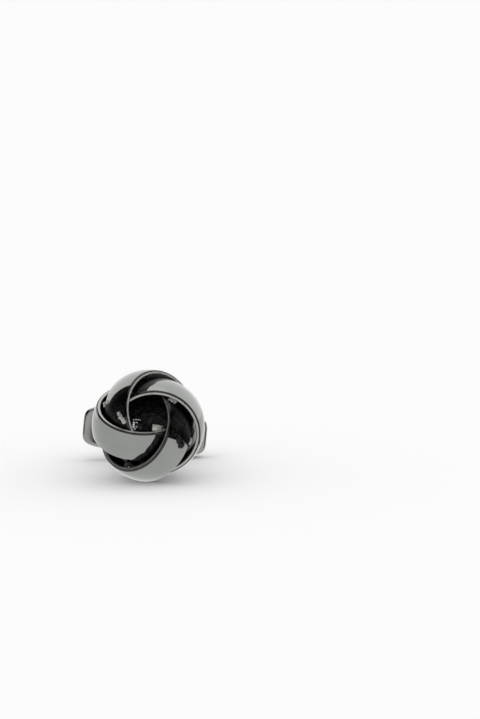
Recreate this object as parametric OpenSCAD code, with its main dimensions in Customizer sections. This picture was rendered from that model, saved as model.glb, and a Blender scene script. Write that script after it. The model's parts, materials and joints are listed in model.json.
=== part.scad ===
// Knot cufflink: four interlaced hoops on a forked post with a hinged toggle.
// All lengths are in millimetres and all angles in degrees.
// The cufflink lies on its side on a flat surface, as it does on a table:
// on the knot, on the end of the lower post arm and on one end of the toggle.
// The origin is on the post's own axis, halfway along the gap for the cuff.

/* [Knot] */
// Outside radius of the ball that each hoop is cut from
hoop_radius = 6.42; // [5.5:0.01:8]
// Width of a hoop, along its curve
hoop_width = 4.3; // [3.6:0.05:4.4]
// Thickness of the hoop metal
hoop_wall = 0.5; // [0.3:0.01:0.52]
// Room left between two hoops where they cross at a corner of the knot's opening
hoop_gap = 0.17; // [0.15:0.01:0.22]
// Bevel along the edges of a hoop
hoop_bevel = 0.1; // [0.04:0.01:0.14]
// Tilt of each hoop's own axis away from the axis of the knot
hoop_tilt = 39; // [38.5:0.1:39.5]
// Angle from a hoop's own axis to its front edge
hoop_lead = 66; // [65.5:0.1:67]

/* [Head on its post] */
// Angle by which the knot looks up from the post's axis
head_tilt = 13.5; // [0:0.5:18]
// Angle by which the knot looks to its right-hand side
head_lean = 3.2; // [0:0.1:6]
// Turn of the knot about its own axis
head_twist = 1.2; // [-10:0.1:10]
// Radius of the round plate at the back of the knot
plate_radius = 4.85; // [4.6:0.05:4.9]
// Thickness of the plate
plate_thick = 0.8; // [0.6:0.05:1.2]
// Bevel round the plate
plate_bevel = 0.18; // [0.05:0.01:0.25]

/* [Bowl inside the knot] */
// Room between the bowl and the hoops
bowl_room = 0.06; // [0.04:0.01:0.2]
// Thickness of the bowl
bowl_wall = 0.4; // [0.3:0.01:0.5]
// Height of the bowl's rim above the middle of the knot
bowl_rim = 0.8; // [0:0.1:1.5]
// Radius of the bowl's foot, which passes between the back edges of the hoops
foot_ring_radius = 3.2; // [3.15:0.01:3.25]
// Radius of the flat floor inside the bowl
floor_radius = 3.0; // [2.95:0.01:3.05]
// Height of that floor above the plate
floor_rise = 0.9; // [0.7:0.05:1]

/* [Solder] */
// Radius of a solder bead in a corner of the knot's opening
bead_radius = 0.34; // [0.25:0.01:0.4]
// Radius of a solder bead under the far end of a hoop's front edge
far_bead_radius = 0.28; // [0.2:0.01:0.35]
// Radius of the largest drop of solder on the left tenon
drop_radius = 0.3; // [0.2:0.01:0.32]

/* [Post] */
// Radius of the round foot between the back plate and the fork
foot_radius = 2.4; // [2.3:0.05:2.8]
// Distance between the middles of the two tenons
tenon_spacing = 2.92; // [2.7:0.01:3]
// Width of a tenon
tenon_width = 1.52; // [1.2:0.01:1.6]
// Thickness of a tenon
tenon_thick = 0.86; // [0.6:0.01:0.9]
// Room round a tenon in its slot
slot_room = 0.03; // [0.02:0.01:0.08]
// Length of the tenon tip that stands out of the bowl's floor
tenon_proud = 0.12; // [0.05:0.01:0.3]
// Thickness of the strip that the fork is bent from
arm_thick = 0.5; // [0.4:0.02:0.8]
// Width of the fork at its bend
fork_width = 3.4; // [3:0.05:4]
// Radius of the round end of an arm
eye_radius = 1.25; // [1.1:0.01:1.5]
// Inside radius of the fork's two bends
bend_radius = 0.6; // [0.3:0.05:1]
// Room between the back plate and the fork at their closest
fork_room = 0.12; // [0.05:0.01:0.5]

/* [Toggle] */
// Length of the toggle
toggle_length = 16.9; // [15:0.1:19]
// Width of the toggle
toggle_width = 5.8; // [5.2:0.05:6.6]
// Depth of the toggle from the pin's axis to its front face
toggle_front = 1.4; // [1.2:0.05:1.8]
// Depth of the toggle from the pin's axis to the joint of its two shells
toggle_rim = 1.0; // [0.9:0.05:1.4]
// Wall of the two pressed shells
shell_wall = 0.5; // [0.35:0.01:0.55]
// Rounding of the toggle's long and short edges
shell_round = 0.34; // [0.1:0.01:0.34]
// Height of the plug that locates the back shell in the front one
plug_rise = 0.15; // [0.1:0.01:0.2]
// Room round that plug
plug_room = 0.03; // [0.02:0.01:0.06]
// Squareness of the toggle's outline, where 2 is an ellipse
outline_power = 5; // [3:0.5:8]

/* [Hinge] */
// Radius of the hinge pin
pin_radius = 0.6; // [0.5:0.01:0.7]
// Room round the pin in the toggle, which turns on it
running_room = 0.04; // [0.02:0.01:0.08]
// Room round the pin in the two arms, which hold it
seat_room = 0.01; // [0.01:0.01:0.02]
// Half the width across the pin's four flats
pin_flat = 0.42; // [0.36:0.01:0.46]
// Room between the toggle's sides and the arms
side_room = 0.08; // [0.05:0.01:0.2]
// Room between the folded toggle's end and the bend of the fork
swing_room = 0.35; // [0.2:0.05:1]

/* [Spring] */
// Thickness of the leaf spring that holds the toggle square
leaf_thick = 0.15; // [0.1:0.01:0.18]
// Width of the leaf spring
leaf_width = 3.0; // [2:0.1:3.6]
// Length of the leaf spring
leaf_length = 10.4; // [8:0.1:11]
// Room between the leaf, the pin's flat and the back shell at rest
leaf_room = 0.02; // [0.01:0.01:0.03]

/* [Hidden] */
$fn = 96;

// One overrun serves every cut
overrun = 2;

// Colours of the black plating, of the bare casting, of solder and of spring steel
plating = [0.56, 0.57, 0.55];
casting = [0.24, 0.24, 0.24];
solder = [0.78, 0.78, 0.76];
steel = [0.62, 0.62, 0.6];

// Turns of a direction about the three axes
function turn_x(a, v) = [v[0], v[1] * cos(a) - v[2] * sin(a), v[1] * sin(a) + v[2] * cos(a)];
function turn_y(a, v) = [v[0] * cos(a) + v[2] * sin(a), v[1], v[2] * cos(a) - v[0] * sin(a)];
function turn_z(a, v) = [v[0] * cos(a) - v[1] * sin(a), v[0] * sin(a) + v[1] * cos(a), v[2]];
function unit(v) = v / norm(v);

// A point in the half plane of a revolve, by its distance from the ball's centre and
// its angle from the axis
function polar(r, a) = [r * sin(a), r * cos(a)];

// Angles of a hoop: its back edge, and the share of its curve that the bevel takes
hoop_angle = hoop_width / hoop_radius * 180 / PI;
hoop_trail = hoop_lead + hoop_angle;
bevel_angle = hoop_bevel / hoop_radius * 180 / PI;

// The front edge is cut flat across the hoop's own axis, at this height along it, so its
// inner corner lies at a smaller angle. The back edge is cut square to the metal.
lead_height = hoop_radius * cos(hoop_lead);
lead_inner = acos(lead_height / (hoop_radius - hoop_wall));

// Two neighbours cross tightest at a corner of the opening, where their front edges meet.
// The corner lies at the same distance, corner_share, along both directions across the
// knot, and each hoop's ball is shifted sideways until the hoops clear each other there.
corner_a = 2 + pow(tan(hoop_tilt), 2);
corner_b = 2 * sin(hoop_tilt) * cos(hoop_lead) / pow(cos(hoop_tilt), 2);
corner_c = pow(cos(hoop_lead) / cos(hoop_tilt), 2) - 1;
corner_share = (sqrt(corner_b * corner_b - 4 * corner_a * corner_c) - corner_b) / (2 * corner_a);
shift_share = 0.16;
open_share = 2 * corner_share - (1 - 2 * corner_share * corner_share) * shift_share;
hoop_shift = (hoop_wall + hoop_gap) / open_share;

// The four hoops, by the way that each one's axis leans as seen from the front
lean_left = 90;
lean_bottom = 180;
lean_right = 270;
lean_top = 0;
LEANS = [lean_left, lean_bottom, lean_right, lean_top];

// From the knot's own directions, with Z out of its opening, to the post's, with Y along
// the post and Z up across it
function from_knot(v) =
    turn_z(-head_lean, turn_x(-head_tilt, turn_x(90, turn_z(head_twist, v))));
module from_knot() {
    rotate([0, 0, -head_lean]) rotate([-head_tilt, 0, 0]) rotate([90, 0, 0])
        rotate([0, 0, head_twist]) children();
}

// A hoop's centre and axis among the knot's own directions
function hoop_centre(lean) = turn_z(lean, [0, hoop_shift, 0]);
function hoop_axis(lean) = turn_z(lean, [sin(hoop_tilt), 0, cos(hoop_tilt)]);

// Depths along the knot's axis: the plate seats on the rearmost points of the hoops
plate_seat = hoop_radius * cos(hoop_trail - bevel_angle + hoop_tilt);
plate_rear = plate_seat - plate_thick;
floor_depth = plate_seat + floor_rise;
bowl_radius = hoop_radius - hoop_wall - hoop_shift - bowl_room;
bowl_inside = bowl_radius - bowl_wall;

// Depths along the post
fork_half = toggle_width / 2 + side_room + arm_thick;
fork_start = (fork_half * sin(head_tilt) - plate_rear) / cos(head_tilt) + fork_room;
tenon_tip = -floor_depth / cos(head_tilt) - tenon_proud;
fork_inside = fork_start + arm_thick;
pin_depth = fork_inside + swing_room + toggle_length / 2;
toggle_face = pin_depth - toggle_front;
cuff_middle = (fork_inside + toggle_face) / 2;

// Depths behind the pin, inside the toggle
lid_inner = toggle_rim - plug_rise;
toggle_back = toggle_rim + shell_wall;
leaf_front = pin_flat + leaf_room;
leaf_sag = lid_inner - leaf_room - leaf_front - leaf_thick;
leaf_bend = (pow(leaf_length / 2, 2) + leaf_sag * leaf_sag) / (2 * leaf_sag);

// The lowest point of a hoop along a direction: on its ball, or on the nearer edge
function hoop_low(lean, way) =
    let (axis = from_knot(hoop_axis(lean)),
         along = way * axis,
         angle = min(max(acos(along), hoop_lead + bevel_angle), hoop_trail - bevel_angle))
    from_knot(hoop_centre(lean))
    + hoop_radius * (cos(angle) * axis + sin(angle) * unit(way - along * axis));
function lower(p, q, way) = p * way > q * way ? p : q;
function knot_low(way) =
    lower(lower(hoop_low(lean_left, way), hoop_low(lean_bottom, way), way),
          lower(hoop_low(lean_right, way), hoop_low(lean_top, way), way), way);

// The lowest point of the lower arm's round end
function arm_low(way) =
    let (out = unit([way[0], way[1]]))
    [eye_radius * out[0], pin_depth + eye_radius * out[1], -fork_half];

// The lowest point of the toggle's outline, where the rounding of its back shell starts
function toggle_low(way) =
    let (a = toggle_length / 2,
         b = toggle_width / 2,
         ax = pow(abs(a * way[0]), 1 / (outline_power - 1)),
         bz = pow(abs(b * way[2]), 1 / (outline_power - 1)),
         size = pow(pow(ax, outline_power) + pow(bz, outline_power), 1 / outline_power))
    [sign(way[0]) * a * ax / size, pin_depth + toggle_back - shell_round,
     sign(way[2]) * b * bz / size];

// The cufflink is laid on these three points, found by a few rounds of trial
function floor_way(way, rounds) =
    rounds == 0 ? way :
    let (k = knot_low(way),
         across = cross(toggle_low(way) - k, arm_low(way) - k))
    floor_way(unit(across * sign(across * way)), rounds - 1);
down = floor_way(unit([0.1, 0.3, -1]), 30);
rest_roll = -atan2(-down[0], -down[2]);
rest_pitch = atan2(-down[1], norm([down[0], down[2]]));
module laid() {
    rotate([rest_pitch, 0, 0]) rotate([0, rest_roll, 0]) translate([0, -cuff_middle, 0])
        children();
}

// The line of a bevel from an edge of a hoop's section to its surface, run on past that
bevel_run = 3;
function bevel_line(start, end) = [start, start + bevel_run * (end - start)];

// The section of a hoop: an arc of the ball's wall with bevelled corners
module hoop_section() {
    inner = hoop_radius - hoop_wall;
    lead_in = bevel_line([inner * sin(lead_inner) + hoop_bevel, lead_height],
                         polar(inner, lead_inner + bevel_angle));
    lead_out = bevel_line([hoop_radius * sin(hoop_lead) - hoop_bevel, lead_height],
                          polar(hoop_radius, hoop_lead + bevel_angle));
    trail_in = bevel_line(polar(inner + hoop_bevel, hoop_trail),
                          polar(inner, hoop_trail - bevel_angle));
    trail_out = bevel_line(polar(hoop_radius - hoop_bevel, hoop_trail),
                           polar(hoop_radius, hoop_trail - bevel_angle));
    intersection() {
        difference() {
            circle(r = hoop_radius);
            circle(r = inner);
        }
        polygon([lead_in[1], lead_in[0], lead_out[0], lead_out[1],
                 polar(hoop_radius + overrun, hoop_lead + hoop_angle / 2),
                 trail_out[1], trail_out[0], trail_in[0], trail_in[1]]);
    }
}

// One hoop of the knot, a turned strip of a ball about its own leaning axis
module hoop(lean) {
    laid() from_knot() rotate([0, 0, lean]) translate([0, hoop_shift, 0])
        rotate([0, hoop_tilt, 0]) rotate_extrude() hoop_section();
}

module band_left() {
    color(plating) hoop(lean_left);
}

module band_bottom() {
    color(plating) hoop(lean_bottom);
}

module band_right() {
    color(plating) hoop(lean_right);
}

module band_top() {
    color(plating) hoop(lean_top);
}

// The direction that lies at two given angles from two axes, on the side of their
// cross product
function meeting(a, b, angle_a, angle_b) =
    let (ab = a * b,
         free = 1 - ab * ab,
         p = (cos(angle_a) - ab * cos(angle_b)) / free,
         q = (cos(angle_b) - ab * cos(angle_a)) / free,
         s = sqrt((1 - p * p - q * q - 2 * p * q * ab) / free))
    p * a + q * b + s * cross(a, b);

// A bead on the outside of the hoop below, under the front edge of the hoop above.
// The hoop that leans a quarter turn further round lies above its neighbour. The two are
// shifted apart, so the bead's place along the edge is found by a few rounds of trial.
// The places of the two beads are shares of the hoop's width from its front edge.
bead_lift_share = 0.35;
near_share = 0.1;
far_share = 0.93;
edge_angle = lead_inner + bevel_angle;
function bead_way(lean, below_angle, above_angle, rounds) =
    let (above = lean + 90,
         way = meeting(hoop_axis(lean), hoop_axis(above), below_angle, above_angle),
         seen = unit(hoop_centre(lean) + hoop_radius * way - hoop_centre(above)),
         miss = edge_angle - acos(seen * hoop_axis(above)))
    rounds == 0 ? way : bead_way(lean, below_angle, above_angle + miss, rounds - 1);
module bead(lean, radius, below_angle) {
    way = bead_way(lean, below_angle, edge_angle, 6);
    translate(hoop_centre(lean) + (hoop_radius + radius * bead_lift_share) * way)
        sphere(r = radius);
}

// The beads that hold the hoops to each other, one at each end of every visible lap
module solder_beads() {
    color(solder) laid() from_knot() for (lean = LEANS) {
        bead(lean, bead_radius, hoop_lead + near_share * hoop_angle);
        bead(lean, far_bead_radius, hoop_lead + far_share * hoop_angle);
    }
}

// The two tenons of the foot, with a given room round them
module tenons(room, tip) {
    size_x = tenon_width + 2 * room;
    size_z = tenon_thick + 2 * room;
    for (side = [-1, 1])
        translate([side * tenon_spacing / 2 - size_x / 2, tip, -size_z / 2])
            cube([size_x, fork_start - tip, size_z]);
}

// The points of an arc about the knot's middle, from one height on its axis to another
ARC_STEPS = 24;
function arc(r, low, high) =
    let (a = acos(low / r), b = acos(high / r))
    [for (i = [0 : ARC_STEPS]) polar(r, a + (b - a) * i / ARC_STEPS)];

// The rough casting at the back of the knot: a round plate that the hoops are soldered
// to, with a bowl that stands inside them and has a flat floor for the tenons
module back_bowl() {
    foot_top = plate_seat + floor_rise / 2;
    outside = -sqrt(pow(bowl_radius, 2) - pow(foot_ring_radius + bowl_wall / 2, 2));
    inside = -sqrt(pow(bowl_inside, 2) - pow(floor_radius, 2));
    inner_arc = arc(bowl_inside, inside, bowl_rim);
    color(casting) laid() difference() {
        from_knot() rotate_extrude() polygon(concat([
            [0, plate_rear], [plate_radius - plate_bevel, plate_rear],
            [plate_radius, plate_rear + plate_bevel], [plate_radius, plate_seat - plate_bevel],
            [plate_radius - plate_bevel, plate_seat], [foot_ring_radius, plate_seat],
            [foot_ring_radius, foot_top]],
            arc(bowl_radius, outside, bowl_rim),
            [for (i = [0 : ARC_STEPS]) inner_arc[ARC_STEPS - i]],
            [[floor_radius, floor_depth], [0, floor_depth]]));
        tenons(slot_room, tenon_tip - overrun);
    }
}

// Drops of solder run over the left tenon, in shares of the tenon's size and of the
// largest drop
DROP_SHARES = [[0.08, 0.36, 0.9], [0.1, -0.36, 1], [-0.3, 0.02, 0.6]];
module tenon_solder() {
    color(solder) laid() for (d = DROP_SHARES)
        translate([d[0] * tenon_width - tenon_spacing / 2, tenon_tip, d[1] * tenon_thick])
            sphere(r = d[2] * drop_radius);
}

// The round foot, cut off along the back of the plate, with the two tenons that pass
// through the plate to the bowl's floor
module post_foot() {
    color(plating) laid() {
        difference() {
            rotate([-90, 0, 0]) cylinder(r = foot_radius, h = fork_start);
            from_knot() translate([0, 0, plate_rear])
                cylinder(r = plate_radius + overrun, h = fork_start + overrun);
        }
        tenons(0, tenon_tip);
    }
}

// A strip outline with two round corners at its closed end
module bent_outline(start, half, radius, end) {
    translate([start + radius, -half]) square([end - start - radius, 2 * half]);
    translate([start, radius - half]) square([radius + arm_thick, 2 * (half - radius)]);
    for (side = [-1, 1])
        translate([start + radius, side * (half - radius)]) circle(r = radius);
}

// The fork, one strip bent to a U, with a round eye at the end of each arm
module post_fork() {
    end = pin_depth + eye_radius;
    inner_half = fork_half - arm_thick;
    color(plating) laid() difference() {
        intersection() {
            rotate([90, 0, 90]) translate([0, 0, -fork_width / 2])
                linear_extrude(height = fork_width) difference() {
                    bent_outline(fork_start, fork_half, bend_radius + arm_thick, end);
                    bent_outline(fork_inside, inner_half, bend_radius, end + overrun);
                }
            translate([0, 0, -fork_half - overrun])
                linear_extrude(height = 2 * (fork_half + overrun)) union() {
                    translate([0, pin_depth]) circle(r = eye_radius);
                    polygon([[-fork_width / 2, fork_start - overrun],
                             [fork_width / 2, fork_start - overrun],
                             [fork_width / 2, fork_inside + bend_radius],
                             [eye_radius, pin_depth], [-eye_radius, pin_depth],
                             [-fork_width / 2, fork_inside + bend_radius]]);
                }
        }
        translate([0, pin_depth, -fork_half - overrun])
            cylinder(r = pin_radius + seat_room, h = 2 * (fork_half + overrun));
    }
}

// The hinge pin, riveted flush into the arms, with four flats inside the toggle
module hinge_pin() {
    flat_half = leaf_width / 2 + pin_radius;
    color(steel) laid() translate([0, pin_depth, 0]) {
        for (side = [0, 1]) mirror([0, 0, side])
            translate([0, 0, flat_half]) cylinder(r = pin_radius, h = fork_half - flat_half);
        intersection() {
            translate([0, 0, -flat_half]) cylinder(r = pin_radius, h = 2 * flat_half);
            translate([-pin_flat, -pin_flat, -flat_half - overrun])
                cube([2 * pin_flat, 2 * pin_flat, 2 * (flat_half + overrun)]);
        }
    }
}

// The toggle's outline, a squared ellipse drawn in by a given inset
OUTLINE_STEPS = 96;
module toggle_outline(inset) {
    a = toggle_length / 2 - inset;
    b = toggle_width / 2 - inset;
    polygon([for (i = [0 : OUTLINE_STEPS - 1])
        let (t = 360 * i / OUTLINE_STEPS, c = cos(t), s = sin(t))
        [a * sign(c) * pow(abs(c), 2 / outline_power),
         b * sign(s) * pow(abs(s), 2 / outline_power)]]);
}

// A shell from one depth to another, measured away from the pin's axis, with its far edge
// rounded in a few steps
ROUND_STEPS = 3;
round_leaf = 0.01;
module pressed_slab(depth, far) {
    straight = far - shell_round;
    hull() {
        translate([0, 0, depth]) linear_extrude(height = straight - depth) toggle_outline(0);
        for (i = [1 : ROUND_STEPS]) {
            turn = 90 * i / ROUND_STEPS;
            translate([0, 0, straight + shell_round * sin(turn) - round_leaf])
                linear_extrude(height = round_leaf)
                    toggle_outline(shell_round * (1 - cos(turn)));
        }
    }
}

// The deep front shell of the toggle, which faces the knot and turns on the pin
module toggle_front_shell() {
    color(plating) laid() translate([0, pin_depth, 0]) difference() {
        rotate([90, 0, 0]) pressed_slab(-toggle_rim, toggle_front);
        rotate([90, 0, 0]) translate([0, 0, -toggle_rim - overrun])
            linear_extrude(height = toggle_rim + overrun + toggle_front - shell_wall)
                toggle_outline(shell_wall);
        translate([0, 0, -toggle_width])
            cylinder(r = pin_radius + running_room, h = 2 * toggle_width);
    }
}

// The flat back shell of the toggle, with the plug that locates it
module toggle_back_shell() {
    color(plating) laid() translate([0, pin_depth, 0]) rotate([-90, 0, 0]) {
        pressed_slab(toggle_rim, toggle_back);
        translate([0, 0, lid_inner]) linear_extrude(height = plug_rise)
            toggle_outline(shell_wall + plug_room);
    }
}

// The bowed leaf that presses on a flat of the pin, with its ends on the back shell
module detent_spring() {
    middle = leaf_front + leaf_bend;
    color(steel) laid() translate([0, pin_depth, -leaf_width / 2])
        linear_extrude(height = leaf_width) intersection() {
            translate([0, middle]) difference() {
                circle(r = leaf_bend, $fn = 1440);
                circle(r = leaf_bend - leaf_thick, $fn = 1440);
            }
            translate([-leaf_length / 2, 0]) square([leaf_length, toggle_back]);
        }
}

band_left();
band_bottom();
band_right();
band_top();
solder_beads();
back_bowl();
tenon_solder();
post_foot();
post_fork();
hinge_pin();
toggle_front_shell();
toggle_back_shell();
detent_spring();
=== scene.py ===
import json
import math

import bmesh
import bpy
from mathutils import Matrix, Vector, noise

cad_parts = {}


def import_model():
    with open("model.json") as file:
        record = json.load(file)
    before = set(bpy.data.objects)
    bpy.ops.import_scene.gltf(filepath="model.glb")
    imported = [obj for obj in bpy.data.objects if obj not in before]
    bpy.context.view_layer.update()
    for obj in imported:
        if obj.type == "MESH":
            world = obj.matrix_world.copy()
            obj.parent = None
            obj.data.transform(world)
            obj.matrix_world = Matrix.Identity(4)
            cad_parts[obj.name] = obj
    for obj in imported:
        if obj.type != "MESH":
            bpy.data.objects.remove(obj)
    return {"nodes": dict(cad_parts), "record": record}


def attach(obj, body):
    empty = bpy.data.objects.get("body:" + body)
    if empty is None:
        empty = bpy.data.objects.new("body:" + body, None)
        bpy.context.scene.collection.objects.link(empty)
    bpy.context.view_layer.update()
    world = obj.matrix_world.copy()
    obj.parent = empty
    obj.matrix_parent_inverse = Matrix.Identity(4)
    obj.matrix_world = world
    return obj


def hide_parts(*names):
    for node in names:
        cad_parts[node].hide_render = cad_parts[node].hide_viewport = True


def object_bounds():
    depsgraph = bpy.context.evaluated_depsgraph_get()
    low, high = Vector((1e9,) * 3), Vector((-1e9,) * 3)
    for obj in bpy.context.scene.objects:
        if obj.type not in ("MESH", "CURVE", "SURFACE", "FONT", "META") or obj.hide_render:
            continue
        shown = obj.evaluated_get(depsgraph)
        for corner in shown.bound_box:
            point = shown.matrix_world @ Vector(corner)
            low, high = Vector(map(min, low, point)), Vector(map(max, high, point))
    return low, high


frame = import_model()
CAD_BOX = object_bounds()

# Sizes, as in the part

# Lengths are in millimetres and angles in degrees, until a piece is placed in the row's
# frame, which is in metres.
MM = 0.001

# The four hoops of the knot
HOOP_RADIUS = 6.42
HOOP_WIDTH = 4.3
HOOP_WALL = 0.5
HOOP_GAP = 0.17
HOOP_BEVEL = 0.1
HOOP_TILT = 39.0
HOOP_LEAD = 66.0
SHIFT_SHARE = 0.16
LEANS = {"left": 90, "bottom": 180, "right": 270, "top": 0}
TO_NEXT_HOOP = 90

# How the knot sits on the post
HEAD_TILT = 13.5
HEAD_LEAN = 3.2
HEAD_TWIST = 1.2

# The cast back plate, and the bowl inside the hoops
PLATE_RADIUS = 4.85
PLATE_THICK = 0.8
PLATE_BEVEL = 0.18
BOWL_ROOM = 0.06
BOWL_WALL = 0.4
BOWL_RIM = 0.8
FOOT_RING_RADIUS = 3.2
FLOOR_RADIUS = 3.0
FLOOR_RISE = 0.9

# The post's foot and its two tenons
FOOT_RADIUS = 2.4
TENON_SPACING = 2.92
TENON_WIDTH = 1.52
TENON_THICK = 0.86
SLOT_ROOM = 0.03
TENON_PROUD = 0.12

# The forked strip
ARM_THICK = 0.5
FORK_WIDTH = 3.4
EYE_RADIUS = 1.25
BEND_RADIUS = 0.6
FORK_ROOM = 0.12

# The toggle's two shells
TOGGLE_LENGTH = 16.9
TOGGLE_WIDTH = 5.8
TOGGLE_FRONT = 1.4
TOGGLE_RIM = 1.0
SHELL_WALL = 0.5
SHELL_ROUND = 0.34
PLUG_RISE = 0.15
PLUG_ROOM = 0.03
OUTLINE_POWER = 5.0

# The hinge pin, and the spring's leaf that presses on it
PIN_RADIUS = 0.6
RUNNING_ROOM = 0.04
PIN_FLAT = 0.42
SIDE_ROOM = 0.08
SWING_ROOM = 0.35
LEAF_WIDTH = 3.0


def sin(angle):
    return math.sin(math.radians(angle))


def cos(angle):
    return math.cos(math.radians(angle))


def acos(share):
    return math.degrees(math.acos(max(-1.0, min(1.0, share))))


def hoop_shift():
    """How far each hoop's ball is shifted sideways, so that the hoops clear each other."""
    a = 2 + math.tan(math.radians(HOOP_TILT)) ** 2
    b = 2 * sin(HOOP_TILT) * cos(HOOP_LEAD) / cos(HOOP_TILT) ** 2
    c = (cos(HOOP_LEAD) / cos(HOOP_TILT)) ** 2 - 1
    corner = (math.sqrt(b * b - 4 * a * c) - b) / (2 * a)
    open_share = 2 * corner - (1 - 2 * corner * corner) * SHIFT_SHARE
    return (HOOP_WALL + HOOP_GAP) / open_share


# Sizes that follow from those above
HOOP_ANGLE = math.degrees(HOOP_WIDTH / HOOP_RADIUS)
HOOP_TRAIL = HOOP_LEAD + HOOP_ANGLE
HOOP_INNER = HOOP_RADIUS - HOOP_WALL
HOOP_SHIFT = hoop_shift()
BEVEL_ANGLE = math.degrees(HOOP_BEVEL / HOOP_RADIUS)
LEAD_HEIGHT = HOOP_RADIUS * cos(HOOP_LEAD)
LEAD_INNER = acos(LEAD_HEIGHT / HOOP_INNER)
PLATE_SEAT = HOOP_RADIUS * cos(HOOP_TRAIL - BEVEL_ANGLE + HOOP_TILT)
PLATE_REAR = PLATE_SEAT - PLATE_THICK
FLOOR_DEPTH = PLATE_SEAT + FLOOR_RISE
BOWL_RADIUS = HOOP_RADIUS - HOOP_WALL - HOOP_SHIFT - BOWL_ROOM
BOWL_INSIDE = BOWL_RADIUS - BOWL_WALL
FORK_HALF = TOGGLE_WIDTH / 2 + SIDE_ROOM + ARM_THICK
FORK_START = (FORK_HALF * sin(HEAD_TILT) - PLATE_REAR) / cos(HEAD_TILT) + FORK_ROOM
TENON_TIP = -FLOOR_DEPTH / cos(HEAD_TILT) - TENON_PROUD
FORK_INSIDE = FORK_START + ARM_THICK
PIN_DEPTH = FORK_INSIDE + SWING_ROOM + TOGGLE_LENGTH / 2
TOGGLE_BACK = TOGGLE_RIM + SHELL_WALL

# Frames

# POST: millimetres, origin at the knot's middle, Y along the post to the toggle and Z along
# the hinge pin
joint = frame["record"]["behaviour"]["joints"][0]
post_mount = [mount for mount in frame["record"]["mounts"] if mount["name"] == "cuff_post"][0]
pin_way = Vector(joint["axis"]).normalized()
post_way = Vector(post_mount["axis"]).normalized()
side_way = post_way.cross(pin_way).normalized()
axes = Matrix((side_way, post_way, pin_way)).transposed().to_4x4()
POST = (Matrix.Translation(joint["pos_m"]) @ axes @ Matrix.Scale(MM, 4)
        @ Matrix.Translation((0, -PIN_DEPTH, 0)))
PIN_PLACE = POST @ Matrix.Translation((0, PIN_DEPTH, 0))


def turn(angle, axis):
    return Matrix.Rotation(math.radians(angle), 4, axis)


# KNOT: millimetres, the same origin, Z out of the knot's opening
KNOT = POST @ turn(-HEAD_LEAN, "Z") @ turn(90 - HEAD_TILT, "X") @ turn(HEAD_TWIST, "Z")
KNOT_MIDDLE = POST.translation.copy()
BACK_TO_KNOT = KNOT.inverted()


def hoop_frame(lean):
    """The frame of one hoop: its ball's centre, with Z along the hoop's axis."""
    return (KNOT @ turn(lean, "Z") @ Matrix.Translation((0, HOOP_SHIFT, 0))
            @ turn(HOOP_TILT, "Y"))


# Helpers for materials

# Scales count in the object's own metres, and heights are in metres. Noise mostly stays
# between these two values.
NOISE_LOW = 0.3
NOISE_HIGH = 0.7
# How many layers the noise of a grain and of a metal's roughness has, and how much finer
# than its colour a metal's roughness wanders
GRAIN_DETAIL = 8.0
GRAIN_ROUGH = 0.6
ROUGHNESS_DETAIL = 6.0
ROUGHNESS_FINER = 2.3


def new_material(name):
    material = bpy.data.materials.new(name)
    material.use_nodes = True
    tree = material.node_tree
    tree.nodes.clear()
    return material, tree


def add(tree, kind, **settings):
    """A new node with its settings."""
    node = tree.nodes.new(kind)
    for key, value in settings.items():
        setattr(node, key, value)
    return node


def calculate(tree, operation, *values):
    """The output of a math node on outputs or numbers."""
    node = add(tree, "ShaderNodeMath", operation=operation)
    for socket, value in zip(node.inputs, values):
        if hasattr(value, "links"):
            tree.links.new(value, socket)
        else:
            socket.default_value = value
    return node.outputs[0]


def object_noise(tree, scale, detail=4.0, rough=0.5, stretch=(1, 1, 1)):
    """Noise over the object, stretched along its axes."""
    where = add(tree, "ShaderNodeTexCoord")
    mapping = add(tree, "ShaderNodeMapping")
    mapping.inputs["Scale"].default_value = stretch
    texture = add(tree, "ShaderNodeTexNoise")
    texture.inputs["Scale"].default_value = scale
    texture.inputs["Detail"].default_value = detail
    texture.inputs["Roughness"].default_value = rough
    tree.links.new(where.outputs["Object"], mapping.inputs["Vector"])
    tree.links.new(mapping.outputs["Vector"], texture.inputs["Vector"])
    return texture.outputs["Fac"]


def ramp(tree, source, stops):
    """Colours along a value, from pairs of a value and a colour."""
    node = add(tree, "ShaderNodeValToRGB")
    while len(node.color_ramp.elements) < len(stops):
        node.color_ramp.elements.new(0.5)
    for element, (at, colour) in zip(node.color_ramp.elements, stops):
        element.position = at
        element.color = (*colour, 1)
    tree.links.new(source, node.inputs["Fac"])
    return node.outputs["Color"]


def span(tree, source, low, high, start=NOISE_LOW, end=NOISE_HIGH):
    """A value that runs from low to high while the source runs from start to end."""
    node = add(tree, "ShaderNodeMapRange")
    node.inputs["From Min"].default_value = start
    node.inputs["From Max"].default_value = end
    node.inputs["To Min"].default_value = low
    node.inputs["To Max"].default_value = high
    tree.links.new(source, node.inputs["Value"])
    return node.outputs["Result"]


def relief(tree, scale, height):
    """Fine unevenness of a height, as a normal."""
    node = add(tree, "ShaderNodeBump")
    node.inputs["Strength"].default_value = 1.0
    node.inputs["Distance"].default_value = height
    tree.links.new(object_noise(tree, scale, GRAIN_DETAIL, GRAIN_ROUGH), node.inputs["Height"])
    return node.outputs["Normal"]


def mixed_colour(tree, share, first, second):
    """A colour that goes from the first to the second as the share goes from 0 to 1."""
    node = add(tree, "ShaderNodeMix", data_type="RGBA")
    tree.links.new(share, node.inputs["Factor"])
    tree.links.new(first, node.inputs[6])
    if hasattr(second, "links"):
        tree.links.new(second, node.inputs[7])
    else:
        node.inputs[7].default_value = (*second, 1)
    return node.outputs[2]


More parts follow.
